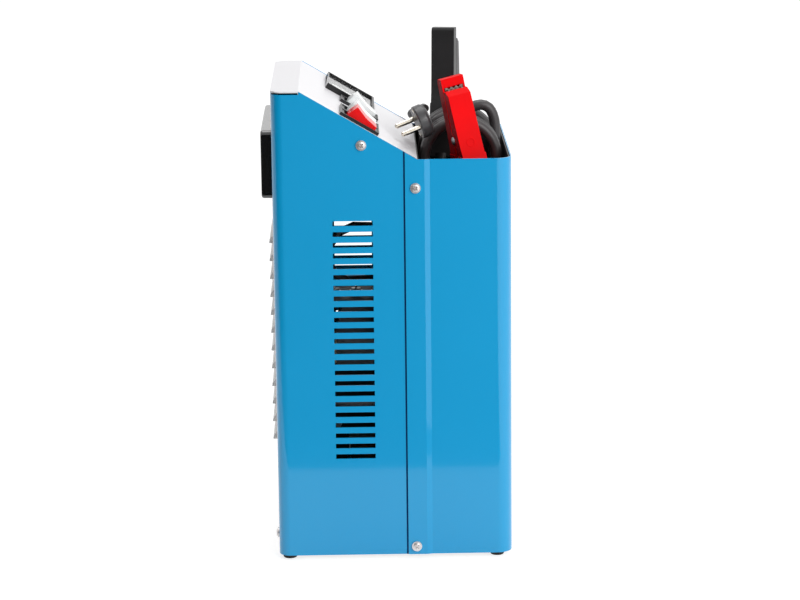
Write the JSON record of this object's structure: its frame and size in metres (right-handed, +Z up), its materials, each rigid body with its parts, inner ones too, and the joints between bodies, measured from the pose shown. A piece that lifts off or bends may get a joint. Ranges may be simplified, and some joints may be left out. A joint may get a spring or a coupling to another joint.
{
  "type": "battery charger",
  "caption": "Upright wheel-less battery charger with a jump-start range: sloping panel with ammeter and rocker switches, rear carrying grip, open cable bin with mains plug and sprung clamps.",
  "frame": {"origin": "on the ground plane, under the middle of the case and its rear grip", "axes": "+X is the front, where the cable bin is; +Y is the side away from the picture's camera; +Z is up"},
  "size_m": [0.228, 0.208, 0.4759],
  "materials": {
    "white_coat": "satin powder coat",
    "blue_coat": "satin powder coat",
    "black_coat": "satin powder coat",
    "black_moulding": "fine grain",
    "black_rubber": "matt",
    "zinc_screws": "zinc plate",
    "nickel_screws": "bright nickel",
    "meter_black": "semi-gloss",
    "dial_card": "printed card",
    "needle_black": "black paint",
    "clear_window": "clear polystyrene",
    "brass_parts": "turned",
    "switch_black": "semi-gloss",
    "rocker_red": "translucent",
    "rocker_clear": "translucent",
    "core_steel": "varnished laminations",
    "bobbin_white": "moulded nylon",
    "enamelled_wire": "enamelled wire under film",
    "copper_wire": "enamelled copper",
    "zinc_steel": "zinc plate",
    "sink_aluminium": "extruded",
    "diode_metal": "nickel plate",
    "post_plastic": "moulded",
    "terminal_white": "moulded",
    "inner_wire": "PVC",
    "mains_jacket": "matt rubber",
    "plug_rubber": "matt rubber",
    "pin_nickel": "bright nickel",
    "lead_jacket": "soft PVC",
    "clamp_red": "satin",
    "clamp_black": "satin",
    "jaw_steel": "zinc plate",
    "rivet_steel": "zinc plate",
    "spring_steel": "drawn wire"
  },
  "bodies": {
    "charger": {"base_pan": "white_coat", "rear_panel": "white_coat", "top_panel": "white_coat", "side_panel_left": "blue_coat", "side_panel_right": "blue_coat", "front_shell": "blue_coat", "cable_bin": "black_coat", "rear_grip": "black_moulding", "foot_front_left": "black_rubber", "foot_front_right": "black_rubber", "foot_rear_left": "black_rubber", "foot_rear_right": "black_rubber", "foot_screws": "zinc_screws", "case_screws": "nickel_screws", "grip_screws": "nickel_screws", "meter_case": "meter_black", "meter_dial": "dial_card", "meter_lens": "clear_window", "meter_movement": "brass_parts", "switch_body_near": "switch_black", "switch_body_middle": "switch_black", "switch_body_far": "switch_black", "transformer_core": "core_steel", "transformer_bobbin": "bobbin_white", "primary_winding": "enamelled_wire", "secondary_winding": "copper_wire", "transformer_clamps": "zinc_steel", "transformer_bolts": "zinc_screws", "rectifier_bridge": "zinc_steel", "heat_sink": "sink_aluminium", "diodes": "diode_metal", "sink_posts": "post_plastic", "terminal_block": "terminal_white", "inner_leads": "inner_wire", "mains_bush": "black_rubber", "lead_bushes": "black_rubber", "mains_cord": "mains_jacket", "mains_coil": "mains_jacket", "plug_body": "plug_rubber", "plug_contacts": "pin_nickel", "red_lead": "lead_jacket", "red_coil": "lead_jacket", "black_lead": "lead_jacket", "black_coil": "lead_jacket", "red_shell_fixed": "clamp_red", "red_jaw_fixed": "jaw_steel", "red_rivet": "rivet_steel", "red_spring": "spring_steel", "black_shell_fixed": "clamp_black", "black_jaw_fixed": "jaw_steel", "black_rivet": "rivet_steel", "black_spring": "spring_steel"},
    "red_clamp_half": {"red_shell_moving": "clamp_red", "red_jaw_moving": "jaw_steel"},
    "black_clamp_half": {"black_shell_moving": "clamp_black", "black_jaw_moving": "jaw_steel"},
    "near_rocker": {"rocker_near": "rocker_red"},
    "middle_rocker": {"rocker_middle": "rocker_clear"},
    "far_rocker": {"rocker_far": "rocker_clear"},
    "needle": {"meter_needle": "needle_black"}
  },
  "joints": [
    {"name": "red_clamp_open", "type": "hinge", "parent": "charger", "child": "red_clamp_half", "pos_m": [0.0724, -0.0685, 0.3913], "axis": [0.9307, 0.31, 0.1942], "range_deg": [0, 22], "stiffness_Nm_per_rad": 1, "springref_deg": -34.38, "deforming": ["red_spring"]},
    {"name": "black_clamp_open", "type": "hinge", "parent": "charger", "child": "black_clamp_half", "pos_m": [0.0599, 0.0705, 0.418], "axis": [-0.9703, 0.2418, -0.0084], "range_deg": [0, 22], "stiffness_Nm_per_rad": 1, "springref_deg": -34.38, "deforming": ["black_spring"]},
    {"name": "near_rocker_tilt", "type": "hinge", "parent": "charger", "child": "near_rocker", "pos_m": [-0.02544, -0.0815, 0.40744], "axis": [0, 1, 0], "range_deg": [-36, 0]},
    {"name": "middle_rocker_tilt", "type": "hinge", "parent": "charger", "child": "middle_rocker", "pos_m": [-0.02544, -0.0565, 0.40744], "axis": [0, 1, 0], "range_deg": [-36, 0]},
    {"name": "far_rocker_tilt", "type": "hinge", "parent": "charger", "child": "far_rocker", "pos_m": [-0.02544, -0.0045, 0.40744], "axis": [0, 1, 0], "range_deg": [-36, 0]},
    {"name": "needle_swing", "type": "hinge", "parent": "charger", "child": "needle", "pos_m": [-0.02464, 0.05175, 0.40487], "axis": [-0.5095, 0, -0.8605], "range_deg": [0, 80], "stiffness_Nm_per_rad": 0.0002, "springref_deg": -17.19}
  ]
}
